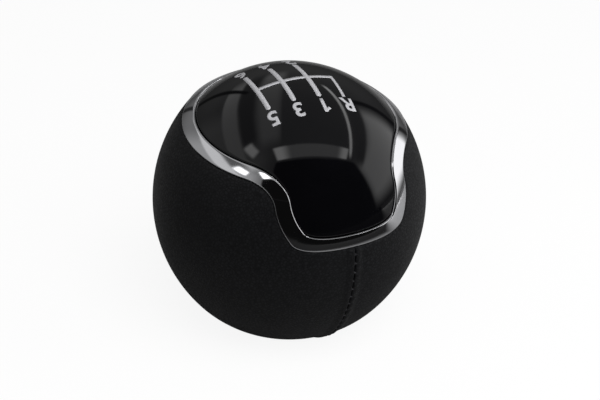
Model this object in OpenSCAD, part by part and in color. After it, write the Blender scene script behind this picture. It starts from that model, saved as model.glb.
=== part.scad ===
// Ball-shaped gear shift knob: a leather-covered ball with a gloss top cap set in a bright trim
// ring, made of two moulded core halves round a metal lever socket.
// Millimetres, +Z up. The origin is the centre of the base face, on the axis of the lever bore.
// The front, where the cap dips down in a tongue, faces -Y, and the left half is the -X one.

/* [Ball] */
// Width of the covered ball at its equator
ball_w = 52; // [48:0.5:58]
// How far behind the axis the arc of the flanks is centred, which makes them fuller than a circle
flank_shift = 3.2; // [2.4:0.2:4]
// How much smaller the arcs towards the two ends are than half the ball's width
end_arc_less = 4; // [3.2:0.1:4.8]
// Latitude at which the arc of the flanks hands over to the end arcs, in degrees
end_arc_lat = 38; // [35:1:41]
// How much lower than half its width the ball stands above its base face
base_cut = 1.8; // [1.5:0.1:2.2]
// Height of the collar's base face below the covered rim
collar_stand = 1; // [0.6:0.1:1.4]
// Radius of the rounding at the covered rim round the base
rim_round = 2; // [1.6:0.1:2.4]

/* [Wave of the trim ring] */
// Height of the tongue's foot above the equator
dip_z = 4; // [3:0.25:5.5]
// How far behind the ball's front the tongue's lower corners lie, in the side view
dip_back = 2.3; // [2:0.1:2.8]
// How far below the top of the ball's circle the shoulder corners lie
shoulder_drop = 10.9; // [10.2:0.1:12.5]
// How far behind the ball's front the shoulder corners lie, in the side view
shoulder_back = 8.1; // [7.5:0.1:9]
// How far behind the ball's middle the edge turns towards the back
middle_y = 3; // [2:0.25:4]
// How far below the top of the ball's circle the edge lies there
middle_drop = 9; // [8.6:0.1:9.8]
// How far in front of the ball's back the edge levels out
back_in = 8; // [7:0.25:9]
// How far below the top of the ball's circle the edge lies at the back
back_drop = 7.4; // [7:0.1:8.2]
// Rounding of the two gentle bends behind the ball's middle
back_round = 40; // [30:1:50]
// Rounding of the tongue's lower corners on the leather side
dip_round = 2.8; // [2:0.1:3.2]
// Rounding of the shoulder corners on the leather side
shoulder_round = 6.7; // [5:0.1:7.5]
// Rounding of the tongue's lower corners on the cap side
dip_round_in = 2.3; // [1.6:0.1:2.8]
// Rounding of the shoulder corners on the cap side
shoulder_round_in = 9.5; // [7:0.1:10]
// Height of the bright band at the tongue's foot
band_front = 2.2; // [1.8:0.1:2.6]
// Height of the bright band from the shoulders to the back
band_back = 1.55; // [1.3:0.05:1.8]

/* [Trim ring] */
// Depth of the band from its bright face inwards
ring_t = 2.8; // [2.6:0.1:3]
// How far the bright face stands proud of the leather
ring_proud = 0.12; // [0.05:0.01:0.2]
// Width of the small step that breaks each edge of the bright face
ring_step = 0.28; // [0.15:0.01:0.4]
// How far the flange reaches down behind the leather
ring_flange = 1.3; // [1:0.1:1.6]
// How far the ledge reaches up behind the cap's edge
ring_ledge = 0.8; // [0.6:0.1:1]

/* [Top cap] */
// How much smaller the dome's radius is than half the ball's width
cap_recess = 0.4; // [0.3:0.05:0.6]
// Height of the dome's centre above the equator
cap_lift = 0.5; // [0.3:0.05:0.7]
// Wall of the dome
cap_wall = 2.2; // [2:0.1:2.6]
// Thickness left over the ring's ledge
cap_lip = 1.2; // [1:0.05:1.3]
// Outside radius of the round skirt that plugs into the carrier
skirt_r = 12.6; // [11.6:0.1:13]
// Wall of the skirt
skirt_wall = 1.3; // [1:0.1:1.6]
// Number of snap hooks round the skirt
hook_n = 4; // [3:1:6]
// Width of a snap hook
hook_w = 4; // [3:0.5:5]
// How far a snap hook stands out of the skirt
hook_out = 0.9; // [0.6:0.1:1.1]
// Height of a snap hook
hook_h = 1; // [0.8:0.1:1.2]
// How far above the carrier's plate a snap hook sits
hook_up = 1.3; // [1.1:0.1:1.5]
// Gap round a snap hook in its window
hook_gap = 0.3; // [0.2:0.05:0.4]

/* [Carrier] */
// Radius of the carrier's plate
carrier_r = 20.2; // [19.8:0.1:20.6]
// Thickness of the carrier's plate
carrier_t = 2.4; // [2:0.1:2.8]
// Height of the carrier's two round walls above its plate
carrier_wall_h = 3.6; // [3.2:0.1:4]
// Thickness of the carrier's round walls and ribs
carrier_wall = 1.6; // [1.3:0.1:1.9]

/* [Leather] */
// Thickness of the leather
leather_t = 1.2; // [1:0.05:1.4]
// Radius of the hole in the leather where it turns in round the collar
tuck_r = 11.65; // [11.6:0.05:12]
// Height of the turned-in edge
tuck_h = 2; // [1.6:0.1:2.4]
// Width of the groove along the front seam
seam_w = 0.5; // [0.3:0.05:0.7]
// Depth of that groove
seam_depth = 0.45; // [0.3:0.05:0.6]
// Angle by which the stitches stop short of the ring, in degrees
seam_stop = 3; // [2:0.5:4]
// Distance from one stitch to the next
stitch_pitch = 1.9; // [1.6:0.1:2.6]
// Length of a stitch across the seam
stitch_l = 1.7; // [1.4:0.1:2.2]
// Thickness of the thread
thread_d = 0.4; // [0.3:0.02:0.46]

/* [Core] */
// Wall of the core halves
core_wall = 2.4; // [2:0.1:2.6]
// Height of the underside of the deck above the equator
deck_z = 3.2; // [2.4:0.1:3.6]
// Thickness of the deck that carries the cap's carrier
deck_t = 2.4; // [2:0.1:2.6]
// Thickness of the core's floor
floor_t = 2.4; // [2:0.1:3]
// Radius of the thick tube round the lever socket
boss_r = 11.5; // [11.3:0.1:12]
// Thickness of the ribs from that tube to the wall
rib_t = 2; // [1.6:0.1:2.4]
// Wall of the screw bosses
boss_wall = 1.8; // [1.5:0.1:2]
// Length of the carrier's screw bosses, measured from the middle of the deck
carrier_boss_l = 9; // [8:0.5:10]

/* [Lever] */
// Radius of the bore for the gear lever
bore_r = 6; // [5.5:0.1:6.1]
// Thickness of the soft pad over the lever's end
pad_t = 2.3; // [1.8:0.1:3]
// Wall of the adapter sleeve
sleeve_wall = 1.3; // [1.2:0.05:1.35]
// Wall of the lever socket
socket_wall = 1.05; // [0.9:0.05:1.1]
// Thickness of the lever socket's flange
flange_t = 1.4; // [1.2:0.1:1.8]
// Width of the slots between the sleeve's fingers
slot_w = 1.2; // [0.8:0.1:1.6]
// Length of the slots between the sleeve's fingers
slot_l = 10; // [8:0.5:12]
// Height of the spring clip
clip_h = 1; // [0.8:0.1:1.4]
// Thickness of the spring clip
clip_t = 0.55; // [0.4:0.05:0.6]

/* [Collar] */
// Outside radius of the bottom collar
collar_r = 11.5; // [11.3:0.05:11.55]
// How much wider the collar's hole is than the lever
lever_gap = 0.3; // [0.2:0.05:0.5]
// Thickness of the bottom collar
collar_t = 3; // [2.8:0.1:3.4]
// Bevel round the collar's base
collar_bevel = 0.6; // [0.3:0.1:0.8]
// Radius of the circle of the collar's screws
collar_screw_ring = 9.8; // [9.7:0.05:9.9]

/* [Screws] */
// Shank radius of the screws that join the core halves
core_screw_r = 1.1; // [0.9:0.05:1.3]
// Length under the head of the screws that join the core halves
core_screw_l = 15; // [13:0.5:17]
// How far from the ball's front and back the upper of them lie
core_screw_in = 9.2; // [8.8:0.1:9.6]
// How far from the ball's front and back the lower of them lie
core_screw_low_in = 12.4; // [12:0.1:12.8]
// How far below the deck the upper of them lie
core_screw_down = 6.8; // [6.4:0.1:7.2]
// How far above the ball's cut base the lower of them lie
core_screw_up = 10.8; // [10.4:0.1:11.2]
// How far right of the joint their heads sit
core_head_x = 7; // [6.5:0.25:7.5]
// Shank radius of the carrier's screws
carrier_screw_r = 1.05; // [0.9:0.05:1.2]
// Length under the head of the carrier's screws
carrier_screw_l = 10; // [8:0.5:11]
// Radius of the circle of the carrier's screws
carrier_screw_ring = 17; // [16.9:0.05:17.2]
// Shank radius of the collar's screws
collar_screw_r = 0.8; // [0.7:0.05:0.9]
// How far the heads of the collar's screws are sunk in its base
collar_head_sunk = 0.4; // [0.2:0.1:0.6]
// Length under the head of the collar's screws
collar_screw_l = 8.5; // [7:0.5:10]

/* [Clearances] */
// Gap between pieces that are pushed together
slip = 0.05; // [0.02:0.01:0.08]
// Gap round the edges that show
edge_gap = 0.12; // [0.08:0.01:0.2]
// Gap round the screws' heads and in the holes they pass through
screw_slip = 0.2; // [0.1:0.05:0.3]

/* [Hidden] */
$fn = 96;
// Longer than anything in the part, for cutting shapes
far = 80;
// How far inside the ball the land at its widest line lies
land_in = 0.01;

// The ball's outline, in the plane of radius and height, seen from the equator
ball_r = ball_w / 2;
flank_r = ball_r + flank_shift;
end_arc_r = ball_r - end_arc_less;
end_c = [(flank_r - end_arc_r) * cos(end_arc_lat) - flank_shift, (flank_r - end_arc_r) * sin(end_arc_lat)];
equator_h = ball_r - base_cut;
base_z = -equator_h;
rim_z = base_z + collar_stand;
rim_c_z = rim_z + rim_round;
rim_c_x = end_c.x + sqrt(pow(end_arc_r - rim_round, 2) - pow(rim_c_z + end_c.y, 2));
rim_dir = ([rim_c_x, rim_c_z] - [end_c.x, -end_c.y]) / (end_arc_r - rim_round);

// Pieces from the outside in
core_inset = leather_t + slip;
cavity_inset = core_inset + core_wall;
cap_r = ball_r - cap_recess;
deck_top = deck_z + deck_t;
plate_top = deck_top + carrier_t;
collar_top = base_z + collar_t;
flange_top = collar_top + flange_t;
tuck_top = rim_z + tuck_h;
tuck_out = tuck_r + leather_t;
sleeve_r = bore_r + sleeve_wall;
socket_in = sleeve_r + slip;
socket_r = socket_in + socket_wall;
sleeve_top = deck_z - pad_t - 2 * slip;
clip_z = sleeve_top - slot_l / 2;
clip_in = sleeve_r - clip_t;
lever_hole_r = bore_r + lever_gap;
floor_top = flange_top + floor_t;

// Screws: head radius, head height and the seats they need
core_head = [core_screw_r * 2.3, core_screw_r * 1.6];
carrier_head = [carrier_screw_r * 2.2, carrier_screw_r * 1.6];
collar_head = [collar_screw_r * 1.85, collar_screw_r * 1.4];
core_boss_r = core_screw_r + boss_wall;
carrier_boss_r = carrier_screw_r + boss_wall;
core_screw_at = [
    [ball_r - core_screw_in, deck_z - core_screw_down],
    [core_screw_in - ball_r, deck_z - core_screw_down],
    [ball_r - core_screw_low_in, base_z + core_screw_up],
    [core_screw_low_in - ball_r, base_z + core_screw_up]
];
carrier_screw_az = [45, 135, 225, 315];
collar_screw_az = [90, 210, 330];
collar_head_z = base_z + collar_head.y + collar_head_sunk;
carrier_tube_in = skirt_r + slip * 3;
hook_z = plate_top + hook_up;

// Latitude of the uppermost stitch
seam_top_lat = asin(dip_z / flank_r) - seam_stop;

// Points of an arc that rounds the corner b of the path a, b, c
function unit(v) = v / norm(v);
function turned(v, angle) = [v.x * cos(angle) - v.y * sin(angle), v.x * sin(angle) + v.y * cos(angle)];
function corner_arc(a, b, c, r, steps) =
    let (
        u = unit(a - b),
        v = unit(c - b),
        half = acos(u * v) / 2,
        centre = b + unit(u + v) * r / sin(half),
        start = b + u * r / tan(half) - centre,
        sweep = (180 - 2 * half) * sign(cross(start, v))
    )
    [for (i = [0:steps]) centre + turned(start, sweep * i / steps)];

// The wave, seen from the side: [y, z] from in front of the ball to behind it. dip and rest are
// how far it lies above the leather's edge at the tongue's foot and from the shoulders on.
function wave(dip, rest, dip_corner, shoulder_corner) =
    let (
        p = [
            [-far, dip_z + dip],
            [dip_back - ball_r, dip_z + dip],
            [shoulder_back - ball_r, ball_r - shoulder_drop + rest],
            [middle_y, ball_r - middle_drop + rest],
            [ball_r - back_in, ball_r - back_drop + rest],
            [far, ball_r - back_drop + rest]
        ]
    )
    concat(
        [p[0]],
        corner_arc(p[0], p[1], p[2], dip_corner, 7),
        corner_arc(p[1], p[2], p[3], shoulder_corner, 8),
        corner_arc(p[2], p[3], p[4], back_round, 2),
        corner_arc(p[3], p[4], p[5], back_round, 2),
        [p[5]]
    );
leather_edge = wave(0, 0, dip_round, shoulder_round);
cap_edge = wave(band_front, band_back, dip_round_in, shoulder_round_in);

// Everything above or below a wave that is moved up by lift, right across the ball
module above(path, lift) {
    translate([-far / 2, 0, lift]) rotate([90, 0, 90]) linear_extrude(far)
        polygon(concat(path, [[far, far], [-far, far]]));
}
module below(path, lift) {
    translate([-far / 2, 0, lift]) rotate([90, 0, 90]) linear_extrude(far)
        polygon(concat(path, [[far, -far], [-far, -far]]));
}

// Upper and lower end circles, and the flank circle between them, drawn inset from the surface
module ball_outline(inset) {
    intersection() {
        translate([0, -far]) square([far, 2 * far]);
        union() {
            intersection() {
                translate([-flank_shift, 0]) circle(flank_r - inset);
                polygon([
                    [-flank_shift, 0],
                    [far * cos(end_arc_lat) - flank_shift, -far * sin(end_arc_lat)],
                    [far * cos(end_arc_lat) - flank_shift, far * sin(end_arc_lat)]
                ]);
            }
            translate(end_c) circle(end_arc_r - inset);
            translate([end_c.x, -end_c.y]) circle(end_arc_r - inset);
        }
    }
}

// The same outline with its flat base and rounded rim
module based_outline(inset) {
    rim_r = rim_round - inset;
    meet_z = rim_c_z + rim_dir.y * rim_r;
    intersection() {
        ball_outline(inset);
        translate([0, meet_z]) square([far, far]);
    }
    translate([0, rim_z + inset]) square([rim_c_x, far / 4]);
    translate([rim_c_x, rim_c_z]) circle(rim_r);
}

// A layer of the ball between two insets
module layer(from, to) {
    rotate_extrude() difference() {
        ball_outline(from);
        ball_outline(to);
    }
}

// A layer of the dome under the cap's surface
module dome_layer(from, to) {
    translate([0, 0, cap_lift]) difference() {
        sphere(cap_r - from);
        sphere(cap_r - to);
    }
}

module at_equator() {
    translate([0, 0, equator_h]) children();
}

module tube(r_out, r_in, h) {
    difference() {
        cylinder(h = h, r = r_out);
        translate([0, 0, -1]) cylinder(h = h + 2, r = r_in);
    }
}

// Groove along the front meridian, from the rounded rim up to the tongue's foot
module seam_groove() {
    difference() {
        translate([-seam_w / 2, -far, rim_c_z]) cube([seam_w, far, dip_z - rim_c_z]);
        rotate_extrude() ball_outline(seam_depth);
    }
}

// Places children at each stitch of the seam, with +X across it and +Z outwards
module at_stitches() {
    step = stitch_pitch / flank_r * 180 / PI;
    for (lat = [seam_top_lat : -step : -end_arc_lat])
        translate([0, flank_shift, 0]) rotate([90 - lat, 0, 0]) translate([0, 0, flank_r]) children();
}

// The widest line is a narrow straight land, so that its two edges run all the way round
module leather_section() {
    difference() {
        intersection() {
            based_outline(0);
            translate([0, -far]) square([ball_w / 2 - land_in, 2 * far]);
        }
        based_outline(leather_t);
        translate([0, base_z]) square([tuck_r, far]);
    }
    translate([tuck_r, rim_z]) square([leather_t, tuck_h]);
}

module leather_cover() color([0.06, 0.06, 0.065]) at_equator() {
    difference() {
        intersection() {
            rotate_extrude() leather_section();
            below(leather_edge, -edge_gap);
        }
        seam_groove();
        at_stitches() cube([stitch_l, thread_d, thread_d] + 2 * slip * [1, 1, 1], center = true);
    }
}

// The thread shows where it crosses the seam, once in every stitch
module seam_thread() color([0.03, 0.03, 0.035]) at_equator() {
    at_stitches() rotate([0, 90, 0]) cylinder(h = stitch_l, r = thread_d / 2, center = true, $fn = 16);
}

// A piece of one layer that follows the wave, from the leather's edge to the cap's edge
module band(from, to, down, up) {
    intersection() {
        layer(from, to);
        above(leather_edge, -down);
        below(cap_edge, up);
    }
}

module trim_ring() color([0.8, 0.8, 0.82]) at_equator() difference() {
    union() {
        // Bright face, one small step narrower than the foot it stands on
        band(-ring_proud, ring_step * 2, -ring_step, -ring_step);
        band(ring_step, ring_t, 0, 0);
        // Flange behind the leather, which stands on the core's wavy edge
        band(core_inset, cavity_inset, ring_flange, -band_back / 2);
        // Ledge under the cap's edge
        intersection() {
            dome_layer(cap_lip + slip, cap_wall);
            above(leather_edge, band_back / 2);
            below(cap_edge, ring_ledge);
        }
    }
    // Clear of the cap's skirt
    cylinder(h = far, r = skirt_r + slip);
}

module top_cap() color([0.03, 0.03, 0.035]) at_equator() {
    intersection() {
        dome_layer(0, cap_lip);
        above(cap_edge, edge_gap);
    }
    intersection() {
        dome_layer(cap_lip - slip, cap_wall);
        above(cap_edge, ring_ledge + edge_gap);
    }
    // Skirt with its snap hooks, closed above by the dome
    intersection() {
        translate([0, 0, cap_lift]) sphere(cap_r - cap_wall / 2);
        union() {
            translate([0, 0, plate_top + slip]) tube(skirt_r, skirt_r - skirt_wall, far / 2);
            for (i = [0:hook_n - 1]) rotate([0, 0, 360 * i / hook_n])
                translate([0, 0, hook_z]) hook();
        }
    }
}

module hook() {
    intersection() {
        tube(skirt_r + hook_out, skirt_r - skirt_wall / 2, hook_h);
        translate([0, -hook_w / 2, 0]) cube([far, hook_w, hook_h]);
    }
}

module cap_carrier() color([0.13, 0.13, 0.14]) at_equator() {
    difference() {
        intersection() {
            union() {
                translate([0, 0, deck_top + slip]) cylinder(h = carrier_t - slip, r = carrier_r);
                translate([0, 0, deck_top + carrier_t / 2]) {
                    tube(carrier_tube_in + carrier_wall, carrier_tube_in, carrier_wall_h + carrier_t / 2);
                    tube(carrier_r, carrier_r - carrier_wall, carrier_wall_h + carrier_t / 2);
                    for (az = [0:90:270]) rotate([0, 0, az]) carrier_rib();
                }
            }
            // Clear of the core's wall and of the dome above
            rotate_extrude() ball_outline(cavity_inset + edge_gap);
            translate([0, 0, cap_lift]) sphere(cap_r - cap_wall - edge_gap);
        }
        for (i = [0:hook_n - 1]) rotate([0, 0, 360 * i / hook_n]) hook_window();
        at_carrier_screws() {
            translate([0, 0, -far]) cylinder(h = 2 * far, r = carrier_screw_r + screw_slip);
            cylinder(h = far, r = carrier_head.x + screw_slip);
        }
    }
}

module carrier_rib() {
    translate([carrier_tube_in + carrier_wall / 2, -carrier_wall / 2, 0])
        cube([carrier_r - carrier_tube_in - carrier_wall, carrier_wall, carrier_wall_h]);
}

module hook_window() {
    translate([carrier_tube_in - 1, -hook_w / 2 - hook_gap, hook_z - hook_gap])
        cube([carrier_wall + 2, hook_w + 2 * hook_gap, hook_h + 2 * hook_gap]);
}

// Seats of the carrier's screws, with z = 0 on top of its plate
module at_carrier_screws() {
    for (az = carrier_screw_az) at_carrier_screw(az) children();
}
module at_carrier_screw(az) {
    rotate([0, 0, az]) translate([carrier_screw_ring, 0, plate_top]) children();
}

// Room inside the core: round its thick tube below the deck, and open above the deck
module core_room(from_r, from_z, to_z) {
    rotate_extrude() intersection() {
        ball_outline(cavity_inset);
        translate([from_r, from_z]) square([far, to_z - from_z]);
    }
}

module core() {
    difference() {
        intersection() {
            union() {
                difference() {
                    rotate_extrude() based_outline(core_inset);
                    core_room(boss_r, floor_top, deck_z);
                }
                core_inner_bosses();
            }
            below(leather_edge, -ring_flange - slip);
        }
        core_room(0, deck_top, far / 2);
        // Bore for the lever socket, and the seats of its flange, the collar and the leather's edge
        translate([0, 0, base_z - 1]) {
            cylinder(h = deck_z - base_z + 1, r = socket_r + slip);
            cylinder(h = flange_top + slip - base_z + 1, r = collar_r + slip);
            cylinder(h = tuck_top + slip - base_z + 1, r = tuck_out + slip);
        }
        at_carrier_screws() translate([0, 0, -carrier_screw_l - 1])
            cylinder(h = far, r = carrier_screw_r + slip / 2);
        for (az = collar_screw_az) rotate([0, 0, az]) translate([collar_screw_ring, 0, base_z])
            cylinder(h = collar_head_z - base_z + collar_screw_l + 1, r = collar_screw_r + slip / 2);
        for (at = core_screw_at) translate([0, at.x, at.y]) rotate([0, 90, 0]) {
            translate([0, 0, core_head_x - core_screw_l - 1])
                cylinder(h = far / 2, r = core_screw_r + slip / 2);
            translate([0, 0, core_head_x]) cylinder(h = far / 2, r = core_head.x + screw_slip);
        }
    }
}

// Ribs and screw bosses inside the core, trimmed to its wall
module core_inner_bosses() {
    difference() {
        intersection() {
            rotate_extrude() based_outline(core_inset);
            union() {
                translate([0, 0, deck_z + deck_t / 2 - far]) {
                    for (az = carrier_screw_az) rotate([0, 0, az])
                        translate([carrier_screw_ring, 0, far - carrier_boss_l])
                            cylinder(h = carrier_boss_l, r = carrier_boss_r);
                    for (az = [0, 180]) rotate([0, 0, az]) translate([boss_r - 1, -rib_t / 2, 0])
                        cube([far, rib_t, far]);
                }
                for (at = core_screw_at) translate([0, at.x, at.y]) rotate([0, 90, 0])
                    cylinder(h = far, r = core_boss_r, center = true);
            }
        }
        translate([0, 0, -far]) cylinder(h = 2 * far, r = boss_r - 0.5);
    }
}

module core_left() color([0.2, 0.2, 0.21]) at_equator() intersection() {
    core();
    translate([-far - slip / 2, -far / 2, -far / 2]) cube(far);
}

module core_right() color([0.26, 0.26, 0.27]) at_equator() intersection() {
    core();
    translate([slip / 2, -far / 2, -far / 2]) cube(far);
}

module lever_socket() color([0.7, 0.71, 0.73]) at_equator() {
    difference() {
        union() {
            translate([0, 0, collar_top]) cylinder(h = deck_z - slip - collar_top, r = socket_r);
            translate([0, 0, collar_top]) cylinder(h = flange_t, r = collar_r);
        }
        translate([0, 0, base_z]) cylinder(h = far, r = socket_in);
        for (az = collar_screw_az) rotate([0, 0, az]) translate([collar_screw_ring, 0, base_z])
            cylinder(h = far / 4, r = collar_screw_r + slip * 2);
    }
}

module adapter_sleeve() color([0.85, 0.84, 0.8]) at_equator() {
    difference() {
        translate([0, 0, collar_top + slip]) tube(sleeve_r, bore_r, sleeve_top - collar_top - slip);
        // Slots that part the upper end into four fingers
        for (az = [45, 135]) rotate([0, 0, az])
            translate([-far / 2, -slot_w / 2, sleeve_top - slot_l]) cube([far, slot_w, slot_l + 1]);
        translate([0, 0, clip_z - clip_h / 2 - slip]) tube(far, clip_in - slip, clip_h + 2 * slip);
    }
}

// Open spring clip that draws the fingers onto the lever
module retaining_clip() color([0.55, 0.56, 0.58]) at_equator() {
    translate([0, 0, clip_z - clip_h / 2]) rotate([0, 0, -90 + 20])
        rotate_extrude(angle = 320) translate([clip_in, 0]) square([clip_t, clip_h]);
}

// Soft disc between the lever's end and the deck
module lever_pad() color([0.08, 0.08, 0.08]) at_equator() {
    translate([0, 0, sleeve_top + slip]) cylinder(h = pad_t, r = sleeve_r);
}

module bottom_collar() color([0.1, 0.1, 0.105]) at_equator() {
    difference() {
        rotate_extrude() polygon([
            [lever_hole_r, base_z],
            [collar_r - collar_bevel, base_z],
            [collar_r, base_z + collar_bevel],
            [collar_r, collar_top - slip],
            [lever_hole_r, collar_top - slip]
        ]);
        for (az = collar_screw_az) rotate([0, 0, az]) translate([collar_screw_ring, 0, base_z - 1]) {
            cylinder(h = far / 4, r = collar_screw_r + slip * 2);
            cylinder(h = collar_head_z - base_z + 1, r = collar_head.x + slip);
        }
    }
}

// Screw with its head above z = 0 and its shank below, and a cross recess in the head
module screw(r, l, head) {
    color([0.62, 0.63, 0.65]) difference() {
        union() {
            cylinder(h = head.y, r = head.x);
            translate([0, 0, -l]) cylinder(h = l + head.y / 2, r = r);
        }
        for (az = [0, 90]) rotate([0, 0, az]) translate([-head.x * 0.6, -head.x * 0.15, head.y * 0.4])
            cube([head.x * 1.2, head.x * 0.3, head.y]);
    }
}

module core_screw(i) {
    at_equator() translate([core_head_x, core_screw_at[i].x, core_screw_at[i].y])
        rotate([0, 90, 0]) screw(core_screw_r, core_screw_l, core_head);
}

module carrier_screw(i) {
    at_equator() at_carrier_screw(carrier_screw_az[i]) screw(carrier_screw_r, carrier_screw_l, carrier_head);
}

module collar_screw(i) {
    at_equator() rotate([0, 0, collar_screw_az[i]]) translate([collar_screw_ring, 0, collar_head_z])
        rotate([180, 0, 0]) screw(collar_screw_r, collar_screw_l, collar_head);
}

leather_cover();
seam_thread();
trim_ring();
top_cap();
cap_carrier();
core_left();
core_right();
lever_socket();
adapter_sleeve();
retaining_clip();
lever_pad();
bottom_collar();
core_screw(0);  // core_screw_1
core_screw(1);  // core_screw_2
core_screw(2);  // core_screw_3
core_screw(3);  // core_screw_4
carrier_screw(0);  // carrier_screw_1
carrier_screw(1);  // carrier_screw_2
carrier_screw(2);  // carrier_screw_3
carrier_screw(3);  // carrier_screw_4
collar_screw(0);  // collar_screw_1
collar_screw(1);  // collar_screw_2
collar_screw(2);  // collar_screw_3
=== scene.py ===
# %% [markdown]
# A ball-shaped gear shift knob. Its leather cover, its seam, the wavy bright ring, the gloss cap
# and the printed pattern are worked out here as surfaces. The rest of the knob is carried over
# from the frame as it is and only gets its finishes.

# %% Load the frame
import math
import bmesh
import bpy
import numpy as np
from mathutils import Matrix, Vector


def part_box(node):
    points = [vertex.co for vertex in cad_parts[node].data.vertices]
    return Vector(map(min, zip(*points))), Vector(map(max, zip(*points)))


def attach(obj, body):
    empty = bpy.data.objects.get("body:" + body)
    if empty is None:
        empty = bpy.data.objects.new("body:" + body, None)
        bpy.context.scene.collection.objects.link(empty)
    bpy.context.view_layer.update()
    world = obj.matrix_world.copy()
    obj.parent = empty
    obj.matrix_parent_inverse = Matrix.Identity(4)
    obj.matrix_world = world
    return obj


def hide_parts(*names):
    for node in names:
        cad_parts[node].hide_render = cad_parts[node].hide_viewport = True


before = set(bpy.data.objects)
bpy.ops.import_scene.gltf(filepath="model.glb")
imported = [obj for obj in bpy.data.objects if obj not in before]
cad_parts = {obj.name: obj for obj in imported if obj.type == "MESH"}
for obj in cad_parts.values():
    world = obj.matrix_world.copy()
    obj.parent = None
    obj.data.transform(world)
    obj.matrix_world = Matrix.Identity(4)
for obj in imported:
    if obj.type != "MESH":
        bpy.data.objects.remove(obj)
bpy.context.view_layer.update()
print("frame nodes:", len(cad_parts))

# %% [markdown]
# The whole look hangs on a few sizes. The ball's width and the height of its equator are read
# from the frame, so the surfaces land where the solids are. The others are the real sizes of
# the knob in millimetres, as they are cut in the solids. LAND_IN is how far inside the ball the
# solid's narrow land lies at its widest line.

# %% Sizes in millimetres
MM = 0.001
leather_low, leather_high = (np.array(c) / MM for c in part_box("leather_cover"))
LAND_IN = 0.01
BALL_R = (leather_high[0] - leather_low[0]) / 2 + LAND_IN
COLLAR_STAND = 1.0
BASE_CUT = 1.8
EQUATOR = BALL_R - BASE_CUT
FLANK_SHIFT = 3.2
END_ARC_LESS = 4.0
END_ARC_LAT = math.radians(38)
RIM_ROUND = 2.0
LEATHER_T = 1.2
TUCK_R = 11.65
TUCK_H = 2.0
CAP_R = BALL_R - 0.4
CAP_LIFT = 0.5
CAP_WALL = 2.2
print("ball radius %.2f mm, equator %.2f mm up" % (BALL_R, EQUATOR))

# %% [markdown]
# The ball is a little fuller than a sphere. Its flank is an arc centred behind the axis, and
# two tighter arcs close it towards the ends. One function gives the radius at a height, and
# every other surface is measured from it.

# %% Outline of the ball
FLANK_R = BALL_R + FLANK_SHIFT
END_R = BALL_R - END_ARC_LESS
ARC_GAP = FLANK_R - END_R
END_C = (ARC_GAP * math.cos(END_ARC_LAT) - FLANK_SHIFT, ARC_GAP * math.sin(END_ARC_LAT))
BEND_Z = FLANK_R * math.sin(END_ARC_LAT)
RIM_Z = -EQUATOR + COLLAR_STAND


def ball_radius(z):
    """Radius of the covered ball at height z from the equator.

    Up to the bend it is sqrt(FLANK_R^2 - z^2) - FLANK_SHIFT, past it the end circle's.
    """
    up = np.abs(z)
    flank = np.sqrt(np.maximum(FLANK_R**2 - up**2, 0)) - FLANK_SHIFT
    end = np.sqrt(np.maximum(END_R**2 - (up - END_C[1]) ** 2, 0)) + END_C[0]
    return np.where(up < BEND_Z, flank, end)


def ball_normal(p):
    """Outward unit normal of the ball at points p, from the centre of whichever arc p lies on."""
    r = np.hypot(p[..., 0], p[..., 1])
    on_end = np.abs(p[..., 2]) > BEND_Z
    centre_r = np.where(on_end, END_C[0], -FLANK_SHIFT)
    centre_z = np.where(on_end, np.sign(p[..., 2]) * END_C[1], 0.0)
    nr, nz = r - centre_r, p[..., 2] - centre_z
    length = np.hypot(nr, nz)
    around = p[..., :2] / np.maximum(r, 1e-9)[..., None]
    return np.concatenate([around * (nr / length)[..., None], (nz / length)[..., None]], -1)


def cap_radius(z):
    """Radius of the cap's dome at height z: a circle centred a little above the equator."""
    return np.sqrt(np.maximum(CAP_R**2 - (z - CAP_LIFT) ** 2, 0))


print("rim radius %.2f mm" % float(ball_radius(np.array(RIM_Z))))

# %% [markdown]
# Seen from the side the ring is one wavy line: flat under the tongue, steep along its flanks,
# and gently rising from the shoulders to the back. The solids are cut with that line, straight
# through from left to right, so here the line is laid on the ball in the same way. Walking it
# by azimuth gives each edge as a closed curve.

# %% The two edges of the ring
DIP_Z, DIP_BACK = 4.0, 2.3
SHOULDER_Z, SHOULDER_BACK = 15.1, 8.1
MIDDLE_Y, MIDDLE_Z = 3.0, 17.0
BACK_IN, BACK_Z = 8.0, 18.6
FAR_Y = 80.0
BAND_FRONT, BAND_BACK = 2.2, 1.55
LEATHER_CORNERS = (2.8, 6.7, 40.0, 40.0)
CAP_CORNERS = (2.3, 9.5, 40.0, 40.0)
SIDE_SAMPLES = 40001
HALF_SAMPLES = 6000


def unit(vectors):
    """The directions of some vectors."""
    return vectors / np.linalg.norm(vectors, axis=-1, keepdims=True)


def rounded_path(points, radii):
    """A path whose inner corners are circle arcs of the given radii, as dense points."""
    pieces = [np.array(points[0])[None]]
    for before, corner, after, r in zip(points[:-2], points[1:-1], points[2:], radii):
        before, corner, after = (np.array(q, float) for q in (before, corner, after))
        u, v = unit(before - corner), unit(after - corner)
        half = math.acos(float(u @ v)) / 2
        middle, side = unit(u + v), unit(v - u)
        centre = corner + middle * r / math.sin(half)
        turn = np.linspace(-1, 1, 60)[:, None] * (math.pi / 2 - half)
        pieces.append(centre - middle * r * np.cos(turn) + side * r * np.sin(turn))
    pieces.append(np.array(points[-1])[None])
    return np.concatenate(pieces)


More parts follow.
